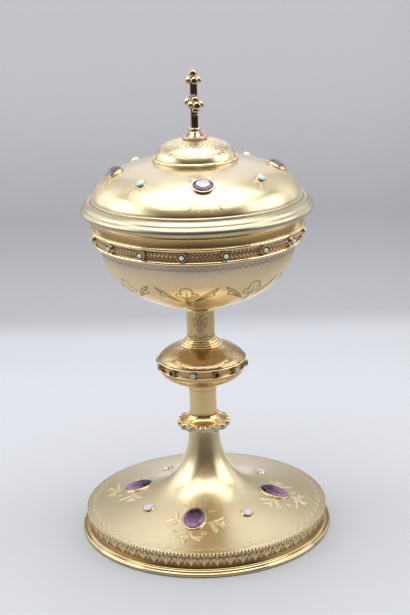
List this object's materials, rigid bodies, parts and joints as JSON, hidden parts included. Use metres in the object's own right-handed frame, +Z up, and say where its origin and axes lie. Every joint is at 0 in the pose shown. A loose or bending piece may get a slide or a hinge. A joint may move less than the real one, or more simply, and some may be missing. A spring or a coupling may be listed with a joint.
{
  "type": "ciborium",
  "caption": "Covered cup on a knopped stem and trumpet foot, gilt and set with stones and pearls; the domed lid with its cross lifts off to reach the bowl.",
  "frame": {"origin": "centre of the foot, on the plane it stands on", "axes": "+Z up along the axis of cup and stem, -Y towards the front seen in the picture, +X to its right"},
  "size_m": [0.131, 0.131, 0.2399],
  "materials": {
    "gilt": "satin gilding, engraved",
    "bright_gilt": "polished gilding",
    "amethyst": "cut and polished",
    "opal": "polished cabochon",
    "turquoise": "polished cabochon",
    "garnet": "polished cabochon",
    "pearl": "pearly",
    "iron": "machined, dull"
  },
  "bodies": {
    "ciborium_base": {"foot_flange": "bright_gilt", "foot_gallery": "gilt", "foot_beading": "bright_gilt", "foot_shell": "gilt", "foot_amethyst_bezels": "bright_gilt", "foot_amethysts": "amethyst", "foot_opal_bezels": "bright_gilt", "foot_opals": "opal", "foot_washer": "iron", "foot_nut": "iron", "tie_rod": "iron", "stem_collar": "bright_gilt", "collar_bezels": "bright_gilt", "collar_turquoises": "turquoise", "lower_stem_sleeve": "gilt", "knop_lower_shell": "gilt", "knop_band": "bright_gilt", "knop_bezels": "bright_gilt", "knop_turquoises": "turquoise", "knop_garnets": "garnet", "knop_upper_shell": "gilt", "knop_top_ring": "bright_gilt", "upper_stem_sleeve": "gilt", "cup_ring": "bright_gilt", "bowl_boss": "iron", "bowl": "gilt", "bowl_band": "gilt", "band_wires": "bright_gilt", "band_bezels": "bright_gilt", "band_pearls": "pearl", "bowl_lip": "bright_gilt"},
    "lid": {"lid_rim": "bright_gilt", "lid_flange": "gilt", "lid_shell": "gilt", "lid_amethyst_bezels": "bright_gilt", "lid_amethysts": "amethyst", "lid_turquoise_bezels": "bright_gilt", "lid_turquoises": "turquoise", "cupola": "gilt", "cupola_wire": "bright_gilt", "finial_base": "bright_gilt", "finial_nut": "iron", "cross": "bright_gilt"}
  },
  "joints": [
    {"name": "lid_lift", "type": "slide", "parent": "ciborium_base", "child": "lid", "axis": [0, 0, 1], "range_m": [0, 0.12]}
  ]
}
